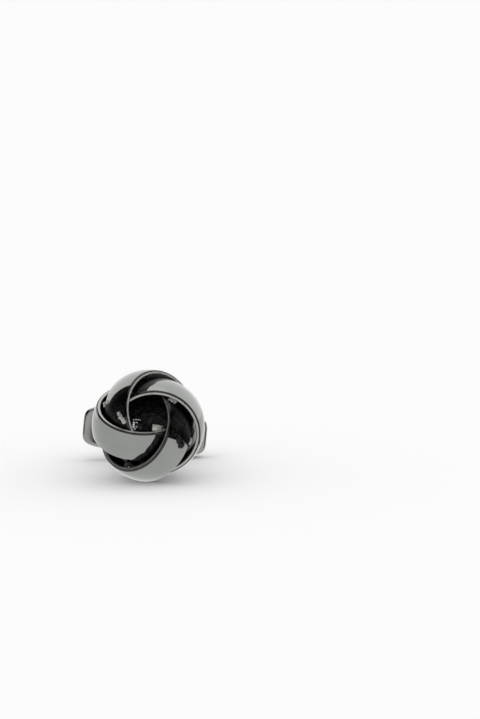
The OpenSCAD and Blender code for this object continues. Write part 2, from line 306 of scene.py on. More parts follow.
def metal_surface(tree, colour, roughness, normal):
    """Wires a metal to the material's output."""
    output = add(tree, "ShaderNodeOutputMaterial")
    surface = add(tree, "ShaderNodeBsdfPrincipled")
    surface.inputs["Metallic"].default_value = 1.0
    tree.links.new(colour, surface.inputs["Base Color"])
    tree.links.new(roughness, surface.inputs["Roughness"])
    tree.links.new(normal, surface.inputs["Normal"])
    tree.links.new(surface.outputs["BSDF"], output.inputs["Surface"])


def metal(name, dark, pale, patch, rough, grain, height):
    """A metal whose colour wanders from dark to pale over patches of one scale, with a
    roughness between two values and a grain of a scale and height."""
    material, tree = new_material(name)
    colour = ramp(tree, object_noise(tree, patch), [(NOISE_LOW, dark), (NOISE_HIGH, pale)])
    wander = object_noise(tree, patch * ROUGHNESS_FINER, ROUGHNESS_DETAIL)
    roughness = span(tree, wander, *rough)
    metal_surface(tree, colour, roughness, relief(tree, grain, height))
    return material


# Materials

# The polished gunmetal plating
POLISHED_DARK = (0.262, 0.272, 0.258)
POLISHED_PALE = (0.292, 0.302, 0.286)
POLISHED_PATCH = 260
POLISHED_GRAIN = 5200
POLISHED_HEIGHT = 0.0000016
# The painted shade, black beside the laps. Its border wanders and fades over these many degrees.
BORDER_WANDER = 1.2
BORDER_SOFT = 0.5
BORDER_SCALE = 900
BORDER_DETAIL = 3.0
BLACK_STOPS = [(0.35, (0.004, 0.004, 0.005)), (0.75, (0.03, 0.03, 0.028))]
BLACK_SCALE = 3200
BLACK_DETAIL = 5.0
BLACK_ROUGHNESS = 0.3
BUFFED_SCALE = 600
BUFFED_ROUGHNESS = (0.04, 0.09)
# The casting, and the scratches in it
CASTING_STOPS = [(0.35, (0.07, 0.07, 0.072)), (0.62, (0.15, 0.15, 0.152)), (0.78, (0.3, 0.3, 0.3))]
CASTING_PATCH = 1500
CASTING_ROUGHNESS = (0.4, 0.65)
CASTING_ROUGH_SCALE = 3400
CASTING_GRAIN = 3600
CASTING_HEIGHT = 0.00005
SCRATCH_SCALE = 420
SCRATCH_STRETCH = (1.0, 0.7, 3.2)
SCRATCH_WIDTH = 0.006
SCRATCH_PALE = (0.8, 0.8, 0.8)
SCRATCH_SHARE = 0.8
SCRATCHED_PATCH = 380
SCRATCHED_FROM = 0.5
SCRATCHED_TO = 0.62


def plating_with_painted_shade():
    """The hoops' plating: polished, but painted black and dull beside the laps as painted shade and
    dark reflection, where another hoop runs over it. The border, where the attribute cover is 0,
    wanders a little."""
    material, tree = new_material("hoop_plating_painted_shade")
    covered = add(tree, "ShaderNodeAttribute", attribute_name="cover")
    wander = span(tree, object_noise(tree, BORDER_SCALE, BORDER_DETAIL), -BORDER_WANDER, BORDER_WANDER)
    total = calculate(tree, "ADD", covered.outputs["Fac"], wander)
    share = span(tree, total, 0.0, 1.0, -BORDER_SOFT, BORDER_SOFT)
    polished = ramp(tree, object_noise(tree, POLISHED_PATCH),
                    [(NOISE_LOW, POLISHED_DARK), (NOISE_HIGH, POLISHED_PALE)])
    black = ramp(tree, object_noise(tree, BLACK_SCALE, BLACK_DETAIL), BLACK_STOPS)
    buffed = span(tree, object_noise(tree, BUFFED_SCALE, ROUGHNESS_DETAIL), *BUFFED_ROUGHNESS)
    roughness = add(tree, "ShaderNodeMix")
    tree.links.new(share, roughness.inputs["Factor"])
    tree.links.new(buffed, roughness.inputs[2])
    roughness.inputs[3].default_value = BLACK_ROUGHNESS
    metal_surface(tree, mixed_colour(tree, share, polished, black), roughness.outputs[0],
                  relief(tree, POLISHED_GRAIN, POLISHED_HEIGHT))
    return material


def hairlines(tree):
    """1 along fine wandering lines, where a stretched smooth noise passes its middle."""
    smooth = object_noise(tree, SCRATCH_SCALE, detail=1.0, rough=0.3, stretch=SCRATCH_STRETCH)
    off = calculate(tree, "SUBTRACT", smooth, 0.5)
    return span(tree, calculate(tree, "ABSOLUTE", off), 1.0, 0.0, 0.0, SCRATCH_WIDTH)


def scratched_casting():
    """The blackened rough casting, with faint scratches in the black."""
    material, tree = new_material("blackened_casting")
    black = ramp(tree, object_noise(tree, CASTING_PATCH), CASTING_STOPS)
    patches = object_noise(tree, SCRATCHED_PATCH, detail=2.0)
    some = span(tree, patches, 0.0, SCRATCH_SHARE, SCRATCHED_FROM, SCRATCHED_TO)
    scratches = calculate(tree, "MULTIPLY", hairlines(tree), some)
    colour = mixed_colour(tree, scratches, black, SCRATCH_PALE)
    wander = object_noise(tree, CASTING_ROUGH_SCALE, ROUGHNESS_DETAIL)
    roughness = span(tree, wander, *CASTING_ROUGHNESS)
    metal_surface(tree, colour, roughness, relief(tree, CASTING_GRAIN, CASTING_HEIGHT))
    return material


hoop_plating_painted_shade = plating_with_painted_shade()
casting = scratched_casting()
# The same dark plating on all other polished pieces
plating = metal("gunmetal_plating", POLISHED_DARK, POLISHED_PALE, patch=POLISHED_PATCH,
                rough=(0.05, 0.11), grain=POLISHED_GRAIN, height=POLISHED_HEIGHT)
# The turned edges of the hoops, plated and hardly polished, so rougher, and paler than the plating as
# a painted highlight
edge_painted_light = metal("edge_painted_light", (0.35, 0.345, 0.325), (0.43, 0.42, 0.40), patch=900,
                 rough=(0.3, 0.42), grain=5200, height=0.000003)
# The rounding along the hoops' front edges, painted near black as a painted dark reflection
edge_painted_dark = metal("edge_painted_dark", (0.035, 0.035, 0.036), (0.06, 0.06, 0.06), patch=900,
                  rough=(0.06, 0.12), grain=5200, height=0.0000016)
# The inside of the hoops: the same plating, painted near black as painted shade in the knot's hollow
hollow = metal("hollow_painted_shade", (0.012, 0.012, 0.013), (0.03, 0.03, 0.031), patch=900,
               rough=(0.3, 0.5), grain=4200, height=0.00001)
# Solder, frozen bright or burnt black. The black also makes two plugs of painted shade in gaps through
# the knot.
solder = metal("frozen_solder", (0.36, 0.36, 0.35), (0.60, 0.60, 0.58), patch=1400,
               rough=(0.22, 0.42), grain=5200, height=0.00002)
burnt_solder_and_shade = metal("burnt_solder_and_shade", (0.008, 0.008, 0.009), (0.03, 0.03, 0.031), patch=1400,
                     rough=(0.1, 0.22), grain=2600, height=0.00001)
# The solder on the left tenon, pale and brightened further as a painted highlight deep in the knot,
# and the end of the right one, rubbed bright
solder_painted_bright = metal("solder_painted_bright", (0.55, 0.55, 0.53), (0.8, 0.8, 0.77), patch=1400,
                      rough=(0.14, 0.26), grain=5200, height=0.000005)
rubbed = metal("rubbed_end", (0.40, 0.395, 0.36), (0.46, 0.455, 0.42), patch=900,
               rough=(0.14, 0.26), grain=3000, height=0.000008)
steel = metal("plain_steel", (0.36, 0.36, 0.355), (0.46, 0.46, 0.45), patch=1200,
              rough=(0.16, 0.28), grain=6000, height=0.000004)


# Helpers for shapes

# A shape is a list of points in millimetres and a list of faces. Where a piece has several
# materials, a third list numbers each face's material.
MERGE_WITHIN = 1e-8
ON_AXIS = 1e-9
ROUND_STEPS = 96
# How far a cutter reaches past what it cuts
CUT_BEYOND = 1.0


def new_object(name, shape, place, materials=()):
    """A shape as an object, placed by a matrix in the row's frame."""
    verts, faces = shape[:2]
    mesh = bpy.data.meshes.new(name)
    mesh.from_pydata([place @ Vector(vert) for vert in verts], [], faces)
    for material in materials:
        mesh.materials.append(material)
    if len(shape) > 2:
        mesh.polygons.foreach_set("material_index", shape[2])
    work = bmesh.new()
    work.from_mesh(mesh)
    bmesh.ops.remove_doubles(work, verts=work.verts, dist=MERGE_WITHIN)
    bmesh.ops.recalc_face_normals(work, faces=work.faces)
    work.to_mesh(mesh)
    work.free()
    made = bpy.data.objects.new(name, mesh)
    bpy.context.scene.collection.objects.link(made)
    return made


def finish_shading(target, sharp=35):
    """Smooth faces, with edges left sharp where they meet at more than an angle."""
    target.data.shade_smooth()
    target.data.set_sharp_from_angle(angle=math.radians(sharp))


def piece(name, shape, place, body, nodes, materials):
    """A piece that rides on a body and stands for nodes of the part."""
    made = new_object(name, shape, place, materials)
    finish_shading(made)
    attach(made, body)
    if nodes:
        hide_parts(*nodes)
    return made


def settle(target):
    """Turns an object's modifiers into its mesh."""
    graph = bpy.context.evaluated_depsgraph_get()
    mesh = bpy.data.meshes.new_from_object(target.evaluated_get(graph))
    target.modifiers.clear()
    target.data = mesh


def cut(target, name, shape, place):
    """Cuts a shape out of an object."""
    cutter = new_object(name, shape, place)
    modifier = target.modifiers.new("cut", "BOOLEAN")
    modifier.operation = "DIFFERENCE"
    modifier.solver = "EXACT"
    modifier.object = cutter
    settle(target)
    bpy.data.objects.remove(cutter)


def join(parts):
    """One shape from pairs of a material's number and a shape."""
    verts, faces, tags = [], [], []
    for tag, (part_verts, part_faces) in parts:
        faces += [[index + len(verts) for index in face] for face in part_faces]
        verts += part_verts
        tags += [tag] * len(part_faces)
    return verts, faces, tags


def faces_of(work):
    return [[vert.index for vert in face.verts] for face in work.faces]


def revolve(section, steps, closed=True):
    """Points and faces of a section of (radius, height) turned about Z. A third list has the
    number of the section's side that each face comes from."""
    count = len(section)
    verts, faces, sides = [], [], []
    for i in range(steps):
        angle = 2 * math.pi * i / steps
        along, across = math.cos(angle), math.sin(angle)
        verts += [(radius * along, radius * across, height) for radius, height in section]
    for i in range(steps):
        here = i * count
        beside = (i + 1) % steps * count
        for k in range(count if closed else count - 1):
            m = (k + 1) % count
            face = [here + k, beside + k, beside + m, here + m]
            if section[k][0] < ON_AXIS and section[m][0] < ON_AXIS:
                continue
            if section[k][0] < ON_AXIS:
                face = [here + k, beside + m, here + m]
            elif section[m][0] < ON_AXIS:
                face = [here + k, beside + k, here + m]
            faces.append(face)
            sides.append(k)
    return verts, faces, sides


def turned(section, steps):
    """A solid shape from a section that starts and ends on the axis."""
    return revolve(section, steps, closed=False)[:2]


def cylinder(radius, half_length):
    section = [(0, -half_length), (radius, -half_length), (radius, half_length), (0, half_length)]
    return turned(section, ROUND_STEPS)


def block(low, high):
    """A box between two corners."""
    verts = [(x, y, z) for z in (low[2], high[2]) for y in (low[1], high[1])
             for x in (low[0], high[0])]
    faces = [(0, 1, 3, 2), (4, 6, 7, 5), (0, 4, 5, 1), (2, 3, 7, 6), (0, 2, 6, 4), (1, 5, 7, 3)]
    return verts, faces


def mix(start, end, share):
    """The point at a share of the way between two points of a section or outline."""
    return (start[0] + (end[0] - start[0]) * share, start[1] + (end[1] - start[1]) * share)


def about(centre, radius, start, end, steps):
    """Points round a centre, from one angle off the axis to another."""
    angles = [start + (end - start) * i / steps for i in range(steps + 1)]
    return [(centre[0] + radius * sin(a), centre[1] + radius * cos(a)) for a in angles]


# The hoops

# The rounding of their outer and inner corners, and how finely they are divided
OUTER_ROUND = 0.19
INNER_ROUND = 0.13
ROUND_ROOM = 1.3
FILLET_STEPS = 8
ARC_STEPS = 34
HOOP_STEPS = 320
EDGE_SHARES = (0.04, 0.35, 0.65, 0.96)
# How many degrees out from under the hoop above it the painted shade on each hoop reaches, at its
# front edge and at its back edge, and at the crossings behind
PAINTED_SHADE_REACH = {"left": (12.0, 12.0), "bottom": (45.0, 17.0), "right": (19.0, 19.0), "top": (50.0, 6.0)}
SHADE_REACH_BEHIND = 4.0
CLEAR_OF_SHADE = -10.0
UNDER_ROOM = 0.1


def rounded_front(ball, outward):
    """The rounding between a ball face of a radius and the flat front edge, from the face
    to the edge."""
    corner = OUTER_ROUND if outward > 0 else INNER_ROUND
    reach = ball - outward * corner
    height = LEAD_HEIGHT - corner
    centre = (math.sqrt(reach * reach - height * height), height)
    face = acos(height / reach)
    if outward > 0:
        return about(centre, corner, face, 0, FILLET_STEPS)
    return about(centre, corner, face + 180, 360, FILLET_STEPS)


def rounded_back(ball, outward):
    """The rounding between a ball face of a radius and the back edge, which is square to
    the metal, from the face to the edge."""
    corner = OUTER_ROUND if outward > 0 else INNER_ROUND
    reach = ball - outward * corner
    at = HOOP_TRAIL - math.degrees(corner / reach)
    face = at if outward > 0 else at + 180
    return about((reach * sin(at), reach * cos(at)), corner, face, at + 90, FILLET_STEPS)


def edge_between(start, end):
    return [mix(start, end, share) for share in EDGE_SHARES]


def hoop_section():
    """The closed outline of a hoop's section, and the tag of each of its sides: 0 for the
    outside, 1 for the inside, 2 for the edges and 3 for the rounding along the front."""
    front_out, front_in = rounded_front(HOOP_RADIUS, 1), rounded_front(HOOP_INNER, -1)
    back_out, back_in = rounded_back(HOOP_RADIUS, 1), rounded_back(HOOP_INNER, -1)
    room = math.degrees(OUTER_ROUND / HOOP_RADIUS) * ROUND_ROOM
    outer = about((0, 0), HOOP_RADIUS, HOOP_LEAD + room, HOOP_TRAIL - room, ARC_STEPS)
    inner = about((0, 0), HOOP_INNER, HOOP_TRAIL - room, LEAD_INNER + room, ARC_STEPS)
    stretches = [(outer, 0), (back_out, 0), (edge_between(back_out[-1], back_in[-1]), 2),
                 (back_in[::-1], 1), (inner, 1), (front_in, 2),
                 (edge_between(front_in[-1], front_out[-1]), 2), (front_out[::-1], 3)]
    points, tags = [], []
    for stretch, tag in stretches:
        points += stretch
        tags += [tag] * len(stretch)
    return points, tags


def hoop_shape():
    section, section_tags = hoop_section()
    verts, faces, sides = revolve(section, HOOP_STEPS)
    return verts, faces, [section_tags[side] for side in sides]


def hoop_centre(lean):
    return turn(lean, "Z") @ Vector((0, HOOP_SHIFT, 0))


def hoop_axis(lean):
    return turn(lean, "Z") @ Vector((sin(HOOP_TILT), 0, cos(HOOP_TILT)))


def under(point, lean, short):
    """How many degrees a point lies inside the sweep of the hoop with this lean."""
    angle = acos((point - hoop_centre(lean)).normalized().dot(hoop_axis(lean)))
    return min(angle - (HOOP_LEAD - short), HOOP_TRAIL + SHADE_REACH_BEHIND - angle)


def cover(hoop, lean, at_front, at_back):
    """Notes at each point of a hoop how many degrees it lies under another hoop or in the
    recess beside it, which sets where the painted shade lies. The note is below zero on the polished
    metal."""
    notes = []
    for vert in hoop.data.vertices:
        point = BACK_TO_KNOT @ vert.co
        off_axis = acos((point - hoop_centre(lean)).normalized().dot(hoop_axis(lean)))
        reach = at_front + (at_back - at_front) * (off_axis - HOOP_LEAD) / HOOP_ANGLE
        deepest = CLEAR_OF_SHADE
        for ahead in (TO_NEXT_HOOP, 2 * TO_NEXT_HOOP, 3 * TO_NEXT_HOOP):
            goes_over = ahead == TO_NEXT_HOOP and point.z > 0
            ball = HOOP_RADIUS if goes_over else HOOP_INNER + UNDER_ROOM
            if (point - hoop_centre(lean + ahead)).length > ball:
                continue
            short = reach if goes_over else SHADE_REACH_BEHIND
            deepest = max(deepest, under(point, lean + ahead, short))
        notes.append(deepest)
    hoop.data.attributes.new("cover", "FLOAT", "POINT").data.foreach_set("value", notes)


HOOP_SHAPE = hoop_shape()
# Each hoop: plating with painted shade beside the laps, its inside painted near black as painted
# shade, and a painted dark reflection along its front rounding
for side, lean in LEANS.items():
    hoop = piece("hoop_" + side, HOOP_SHAPE, hoop_frame(lean), "head", ["band_" + side],
                 [hoop_plating_painted_shade, hollow, edge_painted_light, edge_painted_dark])
    cover(hoop, lean, *PAINTED_SHADE_REACH[side])

# Solder

# A drop is a fine ball that noise makes uneven.
BALL_STEPS = 4
LUMP_FADE = 0.6
LUMP_STEP = 2.2
LUMP_LAYERS = 4
SEED_SLANT = 0.7
BRIGHT = 0
BURNT_AND_SHADE = 1
# Each run of solder: the hoop that it lies on, where it starts and ends there, as shares of
# the hoop's width and angles round its axis, its radius at the start and at the end, its
# height as a share of that, and whether it froze bright or burnt, where two burnt runs are plugs of
# painted shade
SOLDER_RUNS = [
    ("bottom", (0.13, -148), (0.25, -150), 0.32, 0.36, 0.9, BRIGHT),
    ("bottom", (0.98, 163), (1.0, 169), 0.20, 0.14, 0.8, BRIGHT),
    ("bottom", (0.14, 169), (0.62, 157), 0.2, 0.5, 0.34, BURNT_AND_SHADE),
    ("top", (0.27, -169), (0.14, -158), 0.28, 0.3, 0.42, BRIGHT),
    ("top", (1.04, 172), (0.97, 177), 0.15, 0.2, 0.8, BRIGHT),
    ("top", (0.80, 173), (0.88, 172), 0.1, 0.13, 0.5, BRIGHT),
    ("left", (0.08, -147), (0.14, -148), 0.16, 0.16, 0.7, BURNT_AND_SHADE),
    # This run and the last one reach past their hoops' back edges: black plugs of painted shade in
    # gaps through the knot
    ("left", (1.06, 170), (1.24, 167), 0.3, 0.3, 1.0, BURNT_AND_SHADE),
    ("right", (0.08, -147), (0.14, -148), 0.16, 0.16, 0.7, BURNT_AND_SHADE),
    ("right", (1.0, -162), (1.14, -159), 0.36, 0.36, 1.0, BURNT_AND_SHADE)]
DROPS_IN_RUN = 5
RUN_LUMP_SCALE = 1.2
# How uneven the drops are: bright solder froze grainy, and burnt solder smooth
UNEVEN = {BRIGHT: 0.45, BURNT_AND_SHADE: 0.16}
# Shares of its radius by which a drop in a run varies in size, strays, and stands out
SIZE_VARIES = 0.5
STRAY = 0.45
STANDS_OUT = 0.25
# Where the noise is read for the first run, and the steps from there
FIRST_RUN_SEED = 3.1
RUN_SEED_STEP = 7.7
DROP_SEED_STEP = 2.3
SIZE_NOISE_STEP = 1.3
STRAY_NOISE_STEP = 1.7


def on_hoop(lean, share, angle):
    """A point on the outside of a hoop and the way out there, at a share of its width from
    its front edge and an angle round its own axis."""
    off_axis = HOOP_LEAD + share * HOOP_ANGLE
    out = Vector((sin(off_axis) * cos(angle), sin(off_axis) * sin(angle), cos(off_axis)))
    way = (turn(lean, "Z") @ turn(HOOP_TILT, "Y")).to_3x3() @ out
    return hoop_centre(lean) + HOOP_RADIUS * way, way


def drop(centre, way, radius, flat, seed, uneven, lump_scale):
    """An uneven drop of solder, flattened along the way that it faces."""
    out = Vector(way).normalized()
    level = Vector((1, 0, 0))
    along = (level - level.dot(out) * out).normalized()
    across = out.cross(along)
    shift = Vector((seed, seed * SEED_SLANT, -seed))
    work = bmesh.new()
    bmesh.ops.create_icosphere(work, subdivisions=BALL_STEPS, radius=1.0)
    verts = []
    for vert in work.verts:
        at = vert.co
        lump = noise.fractal(at * lump_scale + shift, LUMP_FADE, LUMP_STEP, LUMP_LAYERS)
        offset = at.x * along + at.y * across + at.z * flat * out
        verts.append(centre + radius * (1 + uneven * lump) * offset)
    faces = faces_of(work)
    work.free()
    return verts, faces


def solder_run(side, start, end, first, last, flat, uneven, seed):
    """A chain of uneven drops that run into each other along a path on a hoop."""
    sweep = (end[1] - start[1] + 180) % 360 - 180
    chain = []
    for i in range(DROPS_IN_RUN):
        share = i / (DROPS_IN_RUN - 1)
        where, way = on_hoop(LEANS[side], start[0] + (end[0] - start[0]) * share,
                             start[1] + sweep * share)
        size_noise = noise.noise(Vector((i * SIZE_NOISE_STEP, seed, 2)))
        radius = (first + (last - first) * share) * (1 + SIZE_VARIES * size_noise)
        stray = noise.noise_vector(Vector((seed, i * STRAY_NOISE_STEP, 0))) * radius * STRAY
        chain.append(drop(where + stray + way * radius * flat * STANDS_OUT, way, radius, flat,
                          seed + DROP_SEED_STEP * i, uneven, RUN_LUMP_SCALE))
    return chain


def solder_at_laps():
    drops = []
    for i, (*path, tag) in enumerate(SOLDER_RUNS):
        chain = solder_run(*path, UNEVEN[tag], FIRST_RUN_SEED + RUN_SEED_STEP * i)
        drops += [(tag, shape) for shape in chain]
    return join(drops)


piece("solder_at_laps", solder_at_laps(), KNOT, "head", ["solder_beads"],
      [solder, burnt_solder_and_shade])

# The lump over the left tenon's end, as drops at shares of the tenon's size and their radii
TENON_DROPS = [(-0.3, 0.94, 0.13), (-0.1, 0.98, 0.14), (0.1, 0.98, 0.14), (0.26, 0.94, 0.11),
               (-0.28, 0.48, 0.25), (-0.3, 0.14, 0.25), (-0.26, -0.2, 0.26), (-0.2, -0.5, 0.26),
               (0.0, 0.52, 0.14), (0.0, -0.14, 0.15)]
TENON_DROP_RISE = 0.15
TENON_DROP_FLAT = 0.16
TENON_DROP_SEED = 11.3
TENON_DROP_SEED_STEP = 5.1
TENON_UNEVEN = 0.2
TENON_LUMP_SCALE = 1.6
# The burnt solder that the lump rests on, above the tenon's end
BASE_PLACES = (-0.2, 0.15)
BASE_HEIGHT = 0.85
BASE_RADIUS = 0.3
BASE_DEPTH = 0.1
BASE_FLAT = 0.82
BASE_SEED = 7.9
BASE_SEED_STEP = 4.3


def tenon_drop(x_share, y, z_share, radius, flat, seed):
    centre = Vector((x_share * TENON_WIDTH - TENON_SPACING / 2, y, z_share * TENON_THICK))
    return drop(centre, (0, -1, 0), radius, flat, seed, TENON_UNEVEN, TENON_LUMP_SCALE)


def solder_on_tenon():
    drops = []
    for i, (x_share, z_share, radius) in enumerate(TENON_DROPS):
        seed = TENON_DROP_SEED + TENON_DROP_SEED_STEP * i
        drops.append((BRIGHT, tenon_drop(x_share, TENON_TIP - TENON_DROP_RISE, z_share, radius,
                                         TENON_DROP_FLAT, seed)))
    for i, x_share in enumerate(BASE_PLACES):
        seed = BASE_SEED + BASE_SEED_STEP * i
        drops.append((BURNT_AND_SHADE, tenon_drop(x_share, TENON_TIP + BASE_DEPTH, BASE_HEIGHT, BASE_RADIUS,
                                        BASE_FLAT, seed)))
    return join(drops)


piece("solder_on_tenon", solder_on_tenon(), POST, "head", ["tenon_solder"],
      [solder_painted_bright, burnt_solder_and_shade])

# The bowl and back plate

# How finely each stretch of their section is divided
BACK_STEPS = 14
SEAT_STEPS = 8
OUTSIDE_STEPS = 40
INSIDE_STEPS = 50
WALL_STEPS = 8
FLOOR_STEPS = 26
BOWL_STEPS = 240
CORNER_STEPS = 5
# Where the plate's flat front starts, in from its rim
SEAT_INSET = 1.2 * PLATE_BEVEL
CASTING_SHARP = 50
# How deep and coarse the rough skin inside the knot is, and where it starts
PIT_DEPTH = 0.045
PIT_SCALE = 2.6
PIT_FADE = 0.7
PIT_STEP = 2.1
PIT_LAYERS = 6
GRIT_DEPTH = 0.018
GRIT_SCALE = 9.0
SKIN_BELOW = 0.02
SKIN_BEYOND = 0.03


def arc(radius, low, high, steps):
    """Points on a ball's outline, from one height to another."""
    return about((0, 0), radius, acos(low / radius), acos(high / radius), steps)


def line(start, end, steps):
    """Points along a line, without its end."""
    return [mix(start, end, i / steps) for i in range(steps)]


def round_corner(x, z, radius, start):
    """Points along a quarter circle round (x, z)."""
    angles = [start + 90 * i / CORNER_STEPS for i in range(CORNER_STEPS + 1)]
    return [(x + radius * cos(angle), z + radius * sin(angle)) for angle in angles]


def bowl_section():
    """From the middle of the plate's back, round its rim and up over the bowl's wall to the
    middle of the floor."""
    foot_top = PLATE_SEAT + FLOOR_RISE / 2
    outside_low = -math.sqrt(BOWL_RADIUS ** 2 - (FOOT_RING_RADIUS + BOWL_WALL / 2) ** 2)
    inside_low = -math.sqrt(BOWL_INSIDE ** 2 - FLOOR_RADIUS ** 2)
    flat_end = PLATE_RADIUS - PLATE_BEVEL
    seat_start = PLATE_RADIUS - SEAT_INSET
    section = line((0, PLATE_REAR), (flat_end, PLATE_REAR), BACK_STEPS)
    section += round_corner(flat_end, PLATE_REAR + PLATE_BEVEL, PLATE_BEVEL, -90)
    section += round_corner(flat_end, PLATE_SEAT - PLATE_BEVEL, PLATE_BEVEL, 0)
    section += line((seat_start, PLATE_SEAT), (FOOT_RING_RADIUS, PLATE_SEAT), SEAT_STEPS)
    section += [(FOOT_RING_RADIUS, PLATE_SEAT), (FOOT_RING_RADIUS, foot_top)]
    section += arc(BOWL_RADIUS, outside_low, BOWL_RIM, OUTSIDE_STEPS)
    section += arc(BOWL_INSIDE, inside_low, BOWL_RIM, INSIDE_STEPS)[::-1]
    section += line((FLOOR_RADIUS, inside_low), (FLOOR_RADIUS, FLOOR_DEPTH), WALL_STEPS)
    section += line((FLOOR_RADIUS, FLOOR_DEPTH), (0, FLOOR_DEPTH), FLOOR_STEPS)
    return section + [(0, FLOOR_DEPTH)]


def tenon_slot(side):
    """What is cut from the plate for one tenon."""
    middle = side * TENON_SPACING / 2
    wide = TENON_WIDTH / 2 + SLOT_ROOM
    thick = TENON_THICK / 2 + SLOT_ROOM
    return block((middle - wide, TENON_TIP - CUT_BEYOND, -thick),
                 (middle + wide, FORK_START, thick))


def roughen(bowl):
    """Gives the casting its rough skin inside the knot."""
    for vert in bowl.data.vertices:
        point = BACK_TO_KNOT @ vert.co
        if point.z > FLOOR_DEPTH - SKIN_BELOW and point.length < BOWL_INSIDE + SKIN_BEYOND:
            pits = noise.fractal(point * PIT_SCALE, PIT_FADE, PIT_STEP, PIT_LAYERS)
            grit = noise.noise(point * GRIT_SCALE)
            vert.co += vert.normal * (PIT_DEPTH * pits + GRIT_DEPTH * grit) * MM


bowl = piece("cast_bowl", turned(bowl_section(), BOWL_STEPS), KNOT, "head", ["back_bowl"],
             [casting])
for side in (-1, 1):
    cut(bowl, "slot", tenon_slot(side), POST)
roughen(bowl)
finish_shading(bowl, CASTING_SHARP)

# The post's foot and the ends of its tenons

FOOT_ROUND = 0.08
FOOT_STEPS = 128
FOOT_WALL_STEPS = 24
ALMOST_FOOT_RADIUS = 0.999 * FOOT_RADIUS
PLATE_REACH = PLATE_RADIUS + 2
HEAD_SPREAD = 0.08
HEAD_RISE = 0.14
HEAD_ROOT = 1.2
HEAD_ROUND = 0.07
HEAD_ROUND_STEPS = 4
HEAD_ROUND_PROFILE = 0.6


def foot_section():
    heights = [FORK_START * i / FOOT_WALL_STEPS for i in range(1, FOOT_WALL_STEPS)]
    section = [(0, 0), (ALMOST_FOOT_RADIUS, 0)]
    section += [(FOOT_RADIUS, height) for height in heights]
    section += round_corner(FOOT_RADIUS - FOOT_ROUND, FORK_START - FOOT_ROUND, FOOT_ROUND, 0)
    return section + [(0, FORK_START)]


def plate_and_front():
    """All that lies in front of the plate's back, which the foot stops at."""
    return block((-PLATE_REACH, -PLATE_REACH, PLATE_REAR),
                 (PLATE_REACH, PLATE_REACH, PLATE_REAR + 3 * PLATE_REACH))


def tenon_end(side):
    """One tenon's end, hammered over, so that it is a little wider and stands clear of the
    bowl's sloping floor."""
    work = bmesh.new()
    bmesh.ops.create_cube(work, size=1.0)
    for vert in work.verts:
        vert.co.x = side * TENON_SPACING / 2 + vert.co.x * (TENON_WIDTH + 2 * HEAD_SPREAD)
        vert.co.z = vert.co.z * (TENON_THICK + HEAD_SPREAD)
        vert.co.y = TENON_TIP - HEAD_RISE if vert.co.y < 0 else TENON_TIP + HEAD_ROOT
    bmesh.ops.bevel(work, geom=list(work.edges), offset=HEAD_ROUND, segments=HEAD_ROUND_STEPS,
                    profile=HEAD_ROUND_PROFILE, affect="EDGES")
    verts = [vert.co.copy() for vert in work.verts]
    faces = faces_of(work)
    work.free()
    return verts, faces


foot = piece("post_foot_turned", turned(foot_section(), FOOT_STEPS), POST @ turn(-90, "X"),
             "head", ["post_foot"], [plating])
cut(foot, "plate_back", plate_and_front(), KNOT)
finish_shading(foot)
# The left end is black with burnt solder, and the right one is rubbed bright.
piece("tenon_ends", join([(1, tenon_end(-1)), (0, tenon_end(1))]), POST, "head", [],
      [rubbed, burnt_solder_and_shade])

# The forked strip

# It starts as a fine sheet along the strip's middle, bent to a U, and is then thickened,
# drilled and rounded. Distances along it count from the middle of its base.
STRIP_MIDDLE = FORK_HALF - ARM_THICK / 2
STRIP_BEND = BEND_RADIUS + ARM_THICK / 2
STRIP_BASE = FORK_START + ARM_THICK / 2
BEND_START = STRIP_MIDDLE - STRIP_BEND
BEND_END = BEND_START + STRIP_BEND * math.pi / 2
EYE_AT = BEND_END + PIN_DEPTH - (STRIP_BASE + STRIP_BEND)
STRIP_HALF = EYE_AT + EYE_RADIUS
STRIP_STEPS = 240
STRIP_COLUMNS = 12
EYE_STEPS = 14
ALMOST_END = 0.0005
BORE_ROOM = 0.015
STRIP_ROUND = 0.07
STRIP_ROUND_STEPS = 3
STRIP_SHARP = 40
STRIP_EDGE_ANGLE = 50


def strip_place(along):
    """Where a distance along the strip lies, along the post and along the pin."""
    way = 1 if along >= 0 else -1
    reach = abs(along)
    if reach <= BEND_START:
        return STRIP_BASE, way * reach
    if reach <= BEND_END:
        angle = (reach - BEND_START) / STRIP_BEND
        return (STRIP_BASE + STRIP_BEND - STRIP_BEND * math.cos(angle),
                way * (BEND_START + STRIP_BEND * math.sin(angle)))
    return STRIP_BASE + STRIP_BEND + reach - BEND_END, way * STRIP_MIDDLE


def strip_half_width(along):
    """Half the strip's width: even round the bend, then narrowing to a round eye."""
    reach = abs(along)
    if reach <= BEND_END:
        return FORK_WIDTH / 2
    if reach <= EYE_AT:
        share = (reach - BEND_END) / (EYE_AT - BEND_END)
        return FORK_WIDTH / 2 + (EYE_RADIUS - FORK_WIDTH / 2) * share
    return math.sqrt(max(EYE_RADIUS ** 2 - (reach - EYE_AT) ** 2, 0))


def strip_stations():
    """Distances along the strip: even along its arms, and closer towards the eyes' ends."""
    even = [-STRIP_HALF + 2 * STRIP_HALF * i / STRIP_STEPS for i in range(STRIP_STEPS + 1)]
    eye = [STRIP_HALF - EYE_RADIUS * (1 - sin(90 * i / EYE_STEPS)) for i in range(EYE_STEPS)]
    eye.append(STRIP_HALF - ALMOST_END)
    arms = [along for along in even if abs(along) < STRIP_HALF - EYE_RADIUS]
    return sorted(set(arms + eye + [-along for along in eye]))


